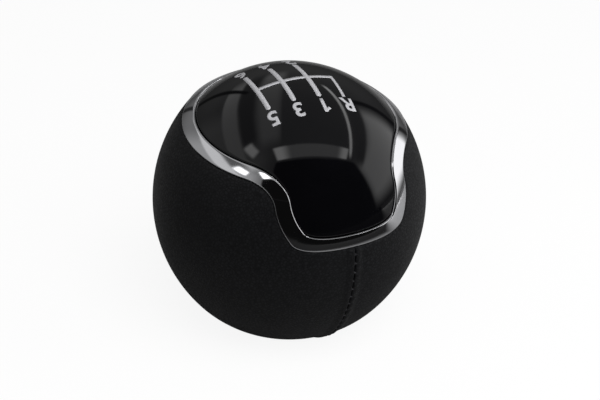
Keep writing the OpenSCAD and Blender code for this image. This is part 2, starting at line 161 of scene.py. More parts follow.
def edge_curve(dip, rest, corners, radius_at):
    """Azimuths 0 to pi from the front, and the heights of one edge there.

    A point (y, z) of the side view lies on the surface at azimuth arccos(-y / radius(z)).
    """
    path = rounded_path(
        [
            (-FAR_Y, DIP_Z + dip), (DIP_BACK - BALL_R, DIP_Z + dip),
            (SHOULDER_BACK - BALL_R, SHOULDER_Z + rest), (MIDDLE_Y, MIDDLE_Z + rest),
            (BALL_R - BACK_IN, BACK_Z + rest), (FAR_Y, BACK_Z + rest),
        ],
        corners,
    )
    y = np.linspace(-BALL_R, BALL_R, SIDE_SAMPLES)
    z = np.interp(y, path[:, 0], path[:, 1])
    r = radius_at(z)
    on = r > np.abs(y)
    azimuth = np.arccos(-y[on] / r[on])
    wanted = np.linspace(0, math.pi, HALF_SAMPLES)
    return wanted, np.interp(wanted, azimuth, z[on])


def on_surface(azimuth, z, radius_at):
    """Points at an azimuth from the front and a height: (r sin, -r cos, z)."""
    r = radius_at(z)
    return np.stack([r * np.sin(azimuth), -r * np.cos(azimuth), z], -1)


half_az, leather_z = edge_curve(0, 0, LEATHER_CORNERS, ball_radius)
_, cap_z = edge_curve(BAND_FRONT, BAND_BACK, CAP_CORNERS, cap_radius)


def edge_height(azimuth, heights):
    """Height of an edge at any azimuth, the same on the left and on the right."""
    wrapped = np.abs((azimuth + math.pi) % (2 * math.pi) - math.pi)
    return np.interp(wrapped, half_az, heights)


print("leather's edge from %.1f to %.1f mm above the equator" % (leather_z.min(), leather_z.max()))

# %% [markdown]
# Every new piece is a grid of points: rows times columns, closed in one or both directions. One
# helper turns such an array into a mesh, with all faces made as whole arrays, and can close a
# first row that has shrunk to a pole.

# %% From arrays to a mesh
def add_object(name, data):
    """A new object in the scene."""
    obj = bpy.data.objects.new(name, data)
    bpy.context.scene.collection.objects.link(obj)
    return obj


def make_object(name, points, faces, closed=True):
    """A smooth mesh object from points in millimetres above the equator, and arrays of faces."""
    points = np.asarray(points, float).reshape(-1, 3) + (0, 0, EQUATOR)
    mesh = bpy.data.meshes.new(name)
    mesh.vertices.add(len(points))
    mesh.vertices.foreach_set("co", (points * MM).astype(np.float32).ravel())
    corners = [np.asarray(f, np.int32) for f in faces if len(f)]
    sizes = np.concatenate([np.full(len(f), f.shape[1], np.int32) for f in corners])
    mesh.loops.add(int(sizes.sum()))
    mesh.loops.foreach_set("vertex_index", np.concatenate([f.ravel() for f in corners]))
    mesh.polygons.add(len(sizes))
    starts = np.concatenate([[0], np.cumsum(sizes)[:-1]])
    mesh.polygons.foreach_set("loop_start", starts.astype(np.int32))
    mesh.polygons.foreach_set("use_smooth", np.ones(len(sizes), bool))
    mesh.update(calc_edges=True)
    mesh.validate()
    obj = add_object(name, mesh)
    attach(obj, "root")
    triangles, volume = enclosed(mesh)
    inside = "%.1f mm3" % volume if closed else "open"
    print(name, len(points), "points,", triangles, "triangles,", inside)
    return obj


def points_of(mesh):
    """A mesh's points as an array."""
    coords = np.empty(len(mesh.vertices) * 3)
    mesh.vertices.foreach_get("co", coords)
    return coords.reshape(-1, 3)


def triangles_of(mesh):
    """The corners of a mesh's triangles as an array."""
    mesh.calc_loop_triangles()
    corners = np.empty(len(mesh.loop_triangles) * 3, np.int32)
    mesh.loop_triangles.foreach_get("vertices", corners)
    return corners.reshape(-1, 3)


def enclosed(mesh):
    """Number of triangles, and the volume within them: the sum of a . (b x c) / 6.

    It is above zero where the faces look outwards.
    """
    a, b, c = np.moveaxis(points_of(mesh)[triangles_of(mesh)], 1, 0) / MM
    return len(a), float((a * np.cross(b, c)).sum() / 6)


def grid_faces(rows, cols, wrap_rows=False, wrap_cols=False, first=0):
    """Quads of a rows by cols grid whose points are numbered row by row."""
    i = np.arange(rows if wrap_rows else rows - 1)[:, None]
    j = np.arange(cols if wrap_cols else cols - 1)[None]
    i2, j2 = (i + 1) % rows, (j + 1) % cols
    quads = np.stack([i * cols + j, i * cols + j2, i2 * cols + j2, i2 * cols + j], -1)
    return quads.reshape(-1, 4) + first


def pole_faces(pole, row_start, cols):
    """Triangles from one pole to a closed row."""
    j = np.arange(cols)
    return np.stack([0 * j + pole, row_start + j, row_start + (j + 1) % cols], -1)


# %% [markdown]
# The ring's bright face is a narrow band that tips inwards, from the leather's level down to
# the recessed cap. It could be swept with a frame carried along the edge, but the band has to
# meet both edges exactly. So each cross-section runs from a point of the leather's edge to the
# nearest point of the cap's edge, and the profile across it is lifted along the ball's normal.

# %% Matching points along the ring
RING_COLS = 1400
MATCH_STEP = 4
MATCH_PAD = 20
MATCH_SMOOTH = 9


def loop_points(heights, radius_at):
    """The whole closed edge as dense points, right half and mirrored left half."""
    azimuth = np.concatenate([half_az[:-1], -half_az[:0:-1]])
    return on_surface(azimuth, edge_height(azimuth, heights), radius_at), azimuth


def along(points):
    """Length along a closed loop at each of its points, and the whole length."""
    steps = np.linalg.norm(np.diff(np.concatenate([points, points[:1]]), axis=0), axis=1)
    return np.concatenate([[0], np.cumsum(steps)[:-1]]), steps.sum()


outer_dense, outer_az = loop_points(leather_z, ball_radius)
inner_dense, inner_az = loop_points(cap_z, cap_radius)
outer_s, outer_length = along(outer_dense)
ring_s = np.arange(RING_COLS) / RING_COLS * outer_length
ring_az = np.interp(ring_s, outer_s, np.unwrap(outer_az))
ring_outer = on_surface(ring_az, edge_height(ring_az, leather_z), ball_radius)
apart = ((inner_dense[None, ::MATCH_STEP] - ring_outer[::MATCH_STEP, None]) ** 2).sum(-1)
match = np.unwrap(np.unwrap(inner_az)[::MATCH_STEP][apart.argmin(1)])
# The nearest points jump from sample to sample, so their azimuths are smoothed round the loop
period = 2 * math.pi
padded = np.concatenate([match[-MATCH_PAD:] - period, match, match[:MATCH_PAD] + period])
smoothed = np.convolve(padded, np.ones(MATCH_SMOOTH) / MATCH_SMOOTH, "same")
match = smoothed[MATCH_PAD:-MATCH_PAD]
matched_cols = np.arange(0, RING_COLS + 1, MATCH_STEP)
ring_match = np.interp(np.arange(RING_COLS), matched_cols, np.append(match, match[0] + period))
ring_inner = on_surface(ring_match, edge_height(ring_match, cap_z), cap_radius)
band_width = np.linalg.norm(ring_inner - ring_outer, axis=1)
band_widths = (band_width.min(), band_width.max())
print("ring %.1f mm long, band %.2f to %.2f mm wide" % (outer_length, *band_widths))

# %% [markdown]
# The profile across the band has a face that is very slightly crowned, a small round on the
# leather side and a larger one on the cap side, where the ring stands proud of the cap. Its
# walls go down into both gaps and meet underneath, so the ring is a closed solid.

# %% Trim ring
RING_PROUD = 0.10
INNER_PROUD = 0.32
OUTER_EDGE_R = 0.2
INNER_EDGE_R = 0.26
FACE_CROWN = 0.05
RING_DEPTH = 1.6
FACE_STEPS = 12
EDGE_STEPS = 6


def ring_profile():
    """Across (0 leather, 1 cap), extra millimetres across, lift in millimetres, round the profile.

    The face is crowned by FACE_CROWN * 4 * t * (1 - t).
    """
    turn = np.linspace(0, math.pi / 2, EDGE_STEPS)
    sin, cos = np.sin(turn), np.cos(turn)
    left = np.stack([0 * turn, OUTER_EDGE_R * (1 - cos), OUTER_EDGE_R * (sin - 1)], 1)
    t = np.linspace(0, 1, FACE_STEPS)[1:-1]
    inset = OUTER_EDGE_R * (1 - t) - INNER_EDGE_R * t
    face = np.stack([t, inset, FACE_CROWN * 4 * t * (1 - t)], 1)
    right = np.stack([1 + 0 * turn, -INNER_EDGE_R * (1 - sin), INNER_EDGE_R * (cos - 1)], 1)
    low_left = np.array([[0, 0, -RING_DEPTH]])
    low_right = np.array([[1, 0, -RING_DEPTH]])
    return np.concatenate([low_left, left, face, right, low_right])


def sweep_ring():
    """Each profile point is mixed between the two edges, moved across and lifted along the normal."""
    profile = ring_profile()
    normal = ball_normal(ring_outer)
    lifted_outer = ring_outer + normal * RING_PROUD
    lifted_inner = ring_inner + normal * INNER_PROUD
    across = unit(lifted_inner - lifted_outer)
    t, sideways, lift = (profile[:, k][:, None, None] for k in range(3))
    return lifted_outer * (1 - t) + lifted_inner * t + across * sideways + normal * lift


ring_points = sweep_ring()
ring = make_object(
    "trim_ring_band", ring_points,
    [grid_faces(len(ring_points), RING_COLS, wrap_rows=True, wrap_cols=True)],
)
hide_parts("trim_ring")

# %% [markdown]
# The leather is drawn tight over the core, so it follows the ball everywhere except along the
# ring, where its edge rolls down into the gap, and along the front seam. There the left panel
# ends in a smooth rolled lip over a narrow groove, and the right panel is gathered by its
# stitches into a row of small puckers, and both swell a little over the thread. All of this is
# a displacement along the normal.

# %% Leather cover
EVEN_COLS = 760
SEAM_COLS = 110
SEAM_SPREAD = math.radians(6.5)
OUTER_ROWS = 82
ROLL_W = 0.75
ROLL_DEPTH = 0.5
EDGE_GAP = 0.1
ROW_EASE = 1.25
FADE_W = 0.8
INNER_ROWS = 10
INNER_LOW, INNER_SHORT = 1.0, 1.5
STITCH_PITCH = 1.9
SEAM_TOP_LAT = math.asin(DIP_Z / FLANK_R) - math.radians(3)
SEAM_REACH = 4.0
RIDGE_H, RIDGE_W = 0.26, 1.35
GROOVE_DEPTH, GROOVE_W = 0.5, 0.11
LIP_H, LIP_X, LIP_W = 0.06, -0.55, 0.42
PUCKER_H, PUCKER_DIP, PUCKER_SHARP = 0.12, 0.16, 2.2
PUCKER_X, PUCKER_W = 0.5, 0.42


def leather_columns():
    """Azimuths of the columns: even along the edge, with many more near the seam."""
    even = np.interp(np.arange(EVEN_COLS) / EVEN_COLS * outer_length, outer_s, np.unwrap(outer_az))
    even = (even + math.pi) % (2 * math.pi) - math.pi
    even = even[np.abs(even) > SEAM_SPREAD]
    fine = np.linspace(-1, 1, SEAM_COLS)
    fine = SEAM_SPREAD * (0.45 * fine + 0.55 * fine**3)
    return np.sort(np.concatenate([even, fine]))


def rim_arc():
    """Radii and heights of the rounded rim's arc, from the flat underside to the ball's outline."""
    centre_z = RIM_Z + RIM_ROUND
    centre_r = END_C[0] + math.sqrt((END_R - RIM_ROUND) ** 2 - (centre_z + END_C[1]) ** 2)
    end = math.atan2(centre_z + END_C[1], centre_r - END_C[0])
    angle = np.linspace(-math.pi / 2, end, 8)
    return centre_r + RIM_ROUND * np.cos(angle), centre_z + RIM_ROUND * np.sin(angle)


def seam_relief(x, s):
    """Millimetres out of the ball at distance x right of the seam and s up from a stitch.

    ridge RIDGE_H * exp(-(x / RIDGE_W)^4) over the thread, groove -GROOVE_DEPTH * exp(-|x| / GROOVE_W),
    on the left a lip LIP_H * exp(-((x - LIP_X) / LIP_W)^2), on the right a row of puckers that
    dip at each stitch by ((1 + cos(2 pi s / STITCH_PITCH)) / 2)^PUCKER_SHARP.
    """
    ridge = RIDGE_H * np.exp(-((x / RIDGE_W) ** 4))
    groove = -GROOVE_DEPTH * np.exp(-np.abs(x) / GROOVE_W)
    lip = LIP_H * np.exp(-((x - LIP_X) / LIP_W) ** 2)
    pulse = (0.5 + 0.5 * np.cos(2 * math.pi * s / STITCH_PITCH)) ** PUCKER_SHARP
    pucker = (PUCKER_H - PUCKER_DIP * pulse) * np.exp(-((x - PUCKER_X) / PUCKER_W) ** 2)
    return ridge + np.where(x < 0, lip, pucker) + groove


def leather_shell(columns):
    """Rows from the tucked edge under the base, round the rim and up the ball to the ring.

    There they go over the rolled edge and back down inside.
    """
    top_z = edge_height(columns, leather_z)
    rim_r, rim_z = rim_arc()
    fraction = np.linspace(0, 1, OUTER_ROWS)[1:]
    fraction = 1 - (1 - fraction) ** ROW_EASE
    low_z = rim_z[-1]
    # Equal steps of arc length up each column, from the dense outline
    dense_z = np.linspace(low_z, BACK_Z + 1, 4000)
    dense_r = ball_radius(dense_z)
    dense_s = np.concatenate([[0], np.cumsum(np.hypot(np.diff(dense_r), np.diff(dense_z)))])
    top_s = np.interp(top_z, dense_z, dense_s)
    s = fraction[:, None] * top_s[None]
    z = np.interp(s, dense_s, dense_z)
    outer = on_surface(columns[None] + 0 * z, z, ball_radius)
    normal = ball_normal(outer)
    # Distance to the ring: the way up the column, foreshortened by the slope of the edge
    slope = np.gradient(top_s, columns) / ball_radius(top_z)
    gap = (top_s - s) / np.sqrt(1 + slope**2)
    reach = np.clip(1 - gap / ROLL_W, 0, 1)
    roll = -ROLL_DEPTH * (1 - np.sqrt(1 - reach**2 * 0.98))
    x = outer[..., 0]
    front = outer[..., 1] < 0
    stitch_s = np.interp(FLANK_R * math.sin(SEAM_TOP_LAT), dense_z, dense_s)
    by_seam = front & (np.abs(x) < SEAM_REACH)
    relief = np.where(by_seam, seam_relief(x, s - stitch_s), 0)
    fade = np.clip(gap / FADE_W, 0, 1)
    outer = outer + normal * (roll + relief * fade)[..., None]

    def rings(radii, heights):
        """Level rings of points at each column's azimuth, one for each radius and height."""
        r, z = (np.asarray(v)[:, None] + 0 * columns for v in (radii, heights))
        return on_surface(columns, z, lambda _: r)

    rim = rings(rim_r[:-1], rim_z[:-1])
    tuck_r = [TUCK_R + LEATHER_T, TUCK_R + LEATHER_T, TUCK_R, TUCK_R]
    tuck = rings(tuck_r, [RIM_Z + LEATHER_T, RIM_Z + TUCK_H, RIM_Z + TUCK_H, RIM_Z])
    # Edge turned down beside the ring, then the inner face back to the tucked edge
    turned_in = outer[-1] - normal[-1] * (LEATHER_T - ROLL_DEPTH)
    down = np.linspace(1, 0, INNER_ROWS)[1:, None]
    inner_z = down * (top_z - low_z - INNER_SHORT)[None] + low_z + INNER_LOW
    inner = on_surface(columns[None] + 0 * inner_z, inner_z, ball_radius)
    inner = inner - ball_normal(inner) * LEATHER_T
    return np.concatenate([tuck, rim, outer, turned_in[None], inner])


leather_az = leather_columns()
leather_points = leather_shell(leather_az)
leather = make_object(
    "leather_wrap", leather_points,
    [grid_faces(len(leather_points), len(leather_az), wrap_rows=True, wrap_cols=True)],
)
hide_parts("leather_cover")

# %% [markdown]
# The cap is a dome that runs down into the tongue. Its rows shrink towards the crown, and each
# column starts at the ring's inner edge. A narrow rounded edge falls into the gap beside the
# ring, and an inner dome closes the wall.

# %% Top cap
CAP_COLS = 900
CAP_ROWS = 64
CAP_EDGE_R = 0.3
CAP_GAP = 0.1


def dome_points(azimuth, z, inset=0.0):
    """Points of the dome, inset towards its centre by some millimetres."""
    p = on_surface(azimuth, z, cap_radius)
    return p - (p - (0, 0, CAP_LIFT)) / CAP_R * inset


def cap_shell():
    """Two crown points, and rows down to the edge, round it and back up the inner dome.

    A row at angle a from the crown lies at height CAP_LIFT + CAP_R * cos(a).
    """
    inner_s, inner_length = along(inner_dense)
    even = np.arange(CAP_COLS) / CAP_COLS * inner_length
    azimuth = np.interp(even, inner_s, np.unwrap(inner_az))
    edge_z = edge_height(azimuth, cap_z) + CAP_GAP
    edge_angle = np.arccos(np.clip((edge_z - CAP_LIFT) / CAP_R, -1, 1))
    round_angle = (edge_angle - CAP_EDGE_R / CAP_R)[None]
    fraction = np.linspace(0, 1, CAP_ROWS + 1)[1:, None]
    z = CAP_LIFT + CAP_R * np.cos(fraction * round_angle)
    upper = dome_points(azimuth[None] + 0 * z, z)
    turn = np.linspace(0, math.pi / 2, 5)[1:, None]
    z = CAP_LIFT + CAP_R * np.cos(round_angle + CAP_EDGE_R * np.sin(turn) / CAP_R)
    rounded = dome_points(azimuth[None] + 0 * z, z, (CAP_EDGE_R * (1 - np.cos(turn)))[..., None])
    z = CAP_LIFT + CAP_R * np.cos(np.linspace(1, 0, 9)[:-1, None] * edge_angle[None])
    lower = dome_points(azimuth[None] + 0 * z, z, CAP_WALL)
    crown = np.array([[0, 0, CAP_LIFT + CAP_R], [0, 0, CAP_LIFT + CAP_R - CAP_WALL]])
    return crown, np.concatenate([upper, rounded, lower])


crown, cap_rows = cap_shell()
cap_points = np.concatenate([crown, cap_rows.reshape(-1, 3)])
last_row = 2 + (len(cap_rows) - 1) * CAP_COLS
cap = make_object(
    "gloss_cap", cap_points,
    [
        grid_faces(len(cap_rows), CAP_COLS, wrap_cols=True, first=2)[:, ::-1],
        pole_faces(0, 2, CAP_COLS),
        pole_faces(1, last_row, CAP_COLS)[:, ::-1],
    ],
)
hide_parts("top_cap")

# %% [markdown]
# The shift pattern is printed on the crown in pale ink: three long strokes and a short one,
# joined by a crossbar, with the gear numbers outside their ends. Ink has a thickness, if a
# tiny one, so the strokes are thin strips laid on the dome.

# %% Printed shift pattern
INK = 0.02
PITCH = 4.92
PATTERN_X = -0.65
BAR_Y = -1.76
BAR_TILT = -0.07
LEAN = 0.065
ARM_FRONT = 5.6
ARM_BACK = 5.8
REVERSE_ARM = 6.2
STROKE = 0.92
CROSS_STROKE = 0.85
REVERSE_STROKE = 0.65
STROKE_STEPS = 40
NUMERAL_H = 3.15
CAPITAL_SHARE = 0.72
GLYPH_BOLD = 0.11
FRONT_GAP, BACK_GAP = 0.55, 0.45
FLAG_STROKE = 0.6
FLAG_FROM, FLAG_TO = (0.0, 0.3), (0.95, 0.85)
COLUMNS_X = [PATTERN_X + (-1.5 + i) * PITCH for i in range(4)]
FRONT_Y = BAR_Y - ARM_FRONT - STROKE / 2 - FRONT_GAP - NUMERAL_H / 2
BACK_Y = BAR_Y + ARM_BACK + STROKE / 2 + BACK_GAP + NUMERAL_H / 2


def on_dome(x, y, lift):
    """Points of the dome over the pattern's positions, as lengths along it from the crown.

    The print leans a little: x + LEAN * (y - BAR_Y), y + BAR_TILT * x. Each point is lifted off.
    """
    x, y = x + LEAN * (y - BAR_Y), y + BAR_TILT * x
    angle = np.hypot(x, y) / CAP_R
    scale = np.where(angle > 1e-9, np.sin(angle) / np.maximum(angle, 1e-9) / CAP_R, 1 / CAP_R)
    direction = np.stack([x * scale, y * scale, np.cos(angle)], -1)
    return direction * (CAP_R + lift) + (0, 0, CAP_LIFT)


def stroke_faces(path, width, lift, round_ends=True):
    """Four rows of points round a strip between two positions, which may have half-round ends."""
    path = np.array(path, float)
    steps = np.linspace(0, 1, STROKE_STEPS)[:, None]
    middle = path[0] * (1 - steps) + path[1] * steps
    run = unit(path[1] - path[0])
    side = np.array([run[1], -run[0]])
    half = width / 2
    widths = np.full((STROKE_STEPS, 1), half)
    if round_ends:
        turn = np.linspace(math.pi / 2, 0, 8)[:-1, None]
        start = path[0] - run * half * np.sin(turn)
        end = path[1] + run * half * np.sin(turn[::-1])
        widths = np.concatenate([half * np.cos(turn), widths, half * np.cos(turn[::-1])])
        middle = np.concatenate([start, middle, end])
    left, right = middle - side * widths, middle + side * widths
    flat = np.stack([left, left, right, right], 0)
    lifts = np.array([lift - INK * 2, lift, lift, lift - INK * 2])[:, None, None]
    return on_dome(flat[..., 0], flat[..., 1], lifts)


def print_strokes():
    """The gate and the flag of the figure one, each a closed strip at its own hair's height."""
    reverse_x = COLUMNS_X[3]
    corner, reverse_end = (reverse_x, BAR_Y + CROSS_STROKE / 2), (reverse_x, BAR_Y - REVERSE_ARM)
    strokes = [
        ([(x, BAR_Y + ARM_BACK), (x, BAR_Y - ARM_FRONT)], STROKE, INK, True) for x in COLUMNS_X[:3]
    ]
    strokes.append(([corner, reverse_end], REVERSE_STROKE, INK, False))
    strokes.append(([(COLUMNS_X[0], BAR_Y), (reverse_x, BAR_Y)], CROSS_STROKE, INK * 0.8, False))
    # The plain built-in figure one is a bare bar, so it gets its flag here
    one_top = np.array((COLUMNS_X[2], FRONT_Y - NUMERAL_H / 2))
    strokes.append(([one_top + FLAG_FROM, one_top + FLAG_TO], FLAG_STROKE, INK * 0.9, False))
    points, faces, first = [], [], 0
    for path, width, lift, round_ends in strokes:
        strip = stroke_faces(path, width, lift, round_ends)
        rows, cols = strip.shape[:2]
        points.append(strip.reshape(-1, 3))
        start = first + np.arange(rows)[None] * cols
        sides = grid_faces(rows, cols, wrap_rows=True, first=first)[:, ::-1]
        faces += [sides, start, (start + cols - 1)[:, ::-1]]
        first += rows * cols
    return np.concatenate(points), faces


gate_points, gate_faces = print_strokes()
gate = make_object("print_gate", gate_points, gate_faces)

# %% [markdown]
# The gear numbers are read by a driver who sits behind the knob. Plain built-in letters are
# thickened a little, cut into small faces so that they can bend, and laid on the same dome.

# %% Gear numbers
def numeral(text, x, y):
    """Mesh of one character, and its points centred at a position, upright to a reader at +Y."""
    curve = bpy.data.curves.new("glyph", "FONT")
    curve.body = text
    curve.size = NUMERAL_H / CAPITAL_SHARE
    curve.offset = GLYPH_BOLD
    curve.resolution_u = 6
    obj = bpy.data.objects.new("glyph", curve)
    mesh = bpy.data.meshes.new_from_object(obj)
    bpy.data.objects.remove(obj)
    coords = points_of(mesh)[:, :2]
    centre = (coords.max(0) + coords.min(0)) / 2
    return mesh, (x, y) - (coords - centre)


def print_numbers():
    """All characters as points and triangles: three cuts in each edge let them follow the dome."""
    places = [(text, x, FRONT_Y) for text, x in zip("531", COLUMNS_X)]
    places += [("R", COLUMNS_X[3], FRONT_Y + 0.1)]
    places += [(text, x, BACK_Y) for text, x in zip("642", COLUMNS_X)]
    joined = bmesh.new()
    for text, x, y in places:
        mesh, flat = numeral(text, x, y)
        coords = np.concatenate([flat, np.zeros((len(flat), 1))], 1)
        mesh.vertices.foreach_set("co", coords.astype(np.float32).ravel())
        joined.from_mesh(mesh)
    bmesh.ops.remove_doubles(joined, verts=joined.verts, dist=1e-4)
    bmesh.ops.triangulate(joined, faces=joined.faces)
    bmesh.ops.subdivide_edges(joined, edges=joined.edges, cuts=3, use_grid_fill=True)
    bmesh.ops.triangulate(joined, faces=joined.faces)
    flat_mesh = bpy.data.meshes.new("flat_numbers")
    joined.to_mesh(flat_mesh)
    joined.free()
    flat, faces = points_of(flat_mesh), triangles_of(flat_mesh)
    top = on_dome(flat[:, 0], flat[:, 1], INK)
    a, b, c = (top[faces[:, k]] for k in range(3))
    outward = (np.cross(b - a, c - a) * (a - (0, 0, CAP_LIFT))).sum(1) > 0
    return top, np.where(outward[:, None], faces, faces[:, ::-1])


number_points, number_faces = print_numbers()
numbers = make_object("print_numbers", number_points, [number_faces], closed=False)
thick = numbers.modifiers.new("ink", "SOLIDIFY")
thick.thickness = INK * 2 * MM
thick.offset = -1

# %% [markdown]
# A finish is more than a colour. Several of them share an effect, such as fine grain or faint
# wear, so each effect is a node group with named inputs and outputs, placed in every material
# with its own values. The shader itself, and all constants on its sockets, stay in the material.

# %% Helpers for node materials
def new_group(name, scale, outputs):
    """An empty shader node group, its Vector and Scale, and its output node of float sockets."""
    group = bpy.data.node_groups.new(name, "ShaderNodeTree")
    group.interface.new_socket("Vector", in_out="INPUT", socket_type="NodeSocketVector")
    made = group.interface.new_socket("Scale", in_out="INPUT", socket_type="NodeSocketFloat")
    made.default_value = scale
    for socket in outputs:
        group.interface.new_socket(socket, in_out="OUTPUT", socket_type="NodeSocketFloat")
    start = group.nodes.new("NodeGroupInput")
    return group, start.outputs[0], start.outputs[1], group.nodes.new("NodeGroupOutput")


def add_node(tree, kind, inputs):
    """A node with some inputs set: sockets are linked, numbers become constants."""
    node = tree.nodes.new(kind)
    for name, value in inputs.items():
        if isinstance(value, bpy.types.NodeSocket):
            tree.links.new(value, node.inputs[name])
        else:
            node.inputs[name].default_value = value
    return node


def math_node(tree, operation, a, b=None, clamp=False):
    """One Math node over sockets or plain numbers."""
    node = add_node(tree, "ShaderNodeMath", {0: a} if b is None else {0: a, 1: b})
    node.operation = operation
    node.use_clamp = clamp
    return node.outputs[0]


def noise_node(tree, vector, scale, detail=2.0):
    """Fractal noise from 0 to 1 at a scale, read at a vector socket."""
    inputs = {"Vector": vector, "Scale": scale, "Detail": detail}
    return add_node(tree, "ShaderNodeTexNoise", inputs).outputs["Fac"]


def ramp(tree, value, low, high, interpolation="LINEAR"):
    """The value stretched so that low becomes 0 and high becomes 1, clamped."""
    inputs = {"Value": value, "From Min": low, "From Max": high}
    node = add_node(tree, "ShaderNodeMapRange", inputs)
    node.interpolation_type = interpolation
    return node.outputs["Result"]


def grain_group():
    """Hide grain: Voronoi pebbles with creases between them, over fine noise.

    Height is 0.75 * pebble + 0.35 * noise, Crease is 1 - pebble.
    """
    group, vector, scale, end = new_group("hide_grain", 1500.0, ("Height", "Crease"))
    cells = add_node(group, "ShaderNodeTexVoronoi", {"Vector": vector, "Scale": scale})
    cells.feature = "DISTANCE_TO_EDGE"
    pebble = ramp(group, cells.outputs["Distance"], 0.0, 0.28)
    fine = noise_node(group, vector, math_node(group, "MULTIPLY", scale, 2.2), 3.0)
    rounded = math_node(group, "MULTIPLY", pebble, 0.75)
    rough = math_node(group, "MULTIPLY", fine, 0.35)
    group.links.new(math_node(group, "ADD", rounded, rough), end.inputs["Height"])
    group.links.new(math_node(group, "SUBTRACT", 1.0, pebble, clamp=True), end.inputs["Crease"])
    return group


def handling_group():
    """Handling marks, 0 to 1: soft patches from slow noise, fine scratches from stretched noise."""
    group, vector, scale, end = new_group("handling_marks", 60.0, ("Patches", "Scratches"))
    slow = noise_node(group, vector, scale, 4.0)
    stretch = {"Vector": vector, "Scale": (1.0, 14.0, 3.0), "Rotation": (0.3, 0.5, 0.9)}
    stretched = add_node(group, "ShaderNodeMapping", stretch).outputs["Vector"]
    lines = noise_node(group, stretched, math_node(group, "MULTIPLY", scale, 9.0), 5.0)
    group.links.new(ramp(group, slow, 0.35, 0.7), end.inputs["Patches"])
    group.links.new(ramp(group, lines, 0.6, 0.72), end.inputs["Scratches"])
    return group


GRAIN = grain_group()
HANDLING = handling_group()
print("effect groups:", GRAIN.name, HANDLING.name)


def blank_material(name):
    """A node material with its shader and its object coordinates."""
    material = bpy.data.materials.new(name)
    material.use_nodes = True
    tree = material.node_tree
    shader = tree.nodes["Principled BSDF"]
    place = tree.nodes.new("ShaderNodeTexCoord").outputs["Object"]
    return material, tree, shader, place


def place_group(tree, group, vector, scale):
    """An effect group in a material, reading a vector at a scale."""
    node = tree.nodes.new("ShaderNodeGroup")
    node.node_tree = group
    tree.links.new(vector, node.inputs["Vector"])
    node.inputs["Scale"].default_value = scale
    return node


def mix_colors(tree, factor, first, second):
    """A colour between two, by a factor socket."""
    node = add_node(tree, "ShaderNodeMix", {0: factor, 6: (*first, 1), 7: (*second, 1)})
    node.data_type = "RGBA"
    return node.outputs[2]


def spread(tree, factor, low, high):
    """A number that goes from low to high as the factor goes from 0 to 1."""
    return math_node(tree, "ADD", math_node(tree, "MULTIPLY", factor, high - low), low)


def step_up(tree, value, edge, soft):
    """0 below an edge and 1 above it, smooth over twice the softness."""
    return ramp(tree, value, edge - soft, edge + soft, "SMOOTHSTEP")


def between(tree, value, low, high, soft):
    """1 between two edges, 0 outside."""
    past = math_node(tree, "SUBTRACT", 1.0, step_up(tree, value, high, soft))
    return math_node(tree, "MULTIPLY", step_up(tree, value, low, soft), past)


def both(tree, first, *others):
    """The product of masks."""
    for other in others:
        first = math_node(tree, "MULTIPLY", first, other)
    return first


def toward(tree, value, mask, level):
    """The value moved to a level where the mask is 1."""
    step = math_node(tree, "MULTIPLY", math_node(tree, "SUBTRACT", level, value), mask)
    return math_node(tree, "ADD", value, step)


def bump(tree, shader, height, strength, distance):
    """Bump from a height socket into the shader's normal. The distance is in metres."""
    inputs = {"Height": height, "Strength": strength, "Distance": distance}
    node = add_node(tree, "ShaderNodeBump", inputs)
    tree.links.new(node.outputs["Normal"], shader.inputs["Normal"])


def colour(tree, shader, factor, first, second):
    """The shader's base colour, between two by a factor."""
    tree.links.new(mix_colors(tree, factor, first, second), shader.inputs["Base Color"])


def roughness(tree, shader, factor, low, high, marks=None, more=0.0):
    """The shader's roughness, from low to high by a factor, and more where there are marks."""
    value = spread(tree, factor, low, high)
    if marks:
        value = math_node(tree, "ADD", value, math_node(tree, "MULTIPLY", marks, more))
    tree.links.new(value, shader.inputs["Roughness"])


# %% [markdown]
# The leather is a black, finely pebbled hide with a satin finish: its creases are rougher than its
# pebbles and painted darker, which is painted shade in the creases, and it is a little smoother where
# a palm would rest.

# %% Leather and thread
def leather_material():
    """Black hide: pebbled bump, creases rougher and painted darker as painted shade, soft patches in
    roughness.
    """
    material, tree, shader, place = blank_material("black_leather")
    grain = place_group(tree, GRAIN, place, 1700.0)
    marks = place_group(tree, HANDLING, place, 55.0)
    crease_shade_and_roughness = grain.outputs["Crease"]
    # The creases get the darker colour: painted shade in the creases.
    colour(tree, shader, crease_shade_and_roughness, (0.0075, 0.0078, 0.0088), (0.003, 0.003, 0.0034))
    roughness(tree, shader, crease_shade_and_roughness, 0.5, 0.62, marks.outputs["Patches"], 0.06)
    shader.inputs["Specular IOR Level"].default_value = 0.3
    bump(tree, shader, grain.outputs["Height"], 0.5, 0.00007)
    return material


def thread_material():
    """Twisted black thread: diagonal ridges from a wave pattern, lighter on the ridges and darker
    between them as painted shade.
    """
    material, tree, shader, place = blank_material("black_thread")
    wave = add_node(tree, "ShaderNodeTexWave", {"Vector": place, "Scale": 900.0})
    wave.bands_direction = "DIAGONAL"
    # Lighter where the wave is high, darker between the ridges: painted shade in the twist's grooves.
    colour(tree, shader, wave.outputs["Fac"], (0.006, 0.006, 0.007), (0.03, 0.03, 0.033))
    shader.inputs["Roughness"].default_value = 0.7
    bump(tree, shader, wave.outputs["Fac"], 0.6, 0.00008)
    return material


def set_material(obj, material):
    """Puts one material in every slot of an object."""
    if not obj.material_slots:
        obj.data.materials.append(material)
    for held in obj.material_slots:
        held.material = material


set_material(leather, leather_material())
set_material(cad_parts["seam_thread"], thread_material())

# %% [markdown]
# The ring is bright-plated plastic: a mirror with the very slight waviness of plating and a few
# hairlines. The cap is piano-black plastic under a hard coat, so clear that it needs hardly any
# roughness, only a trace of orange peel and faint wiping marks. The pattern is pale grey ink.

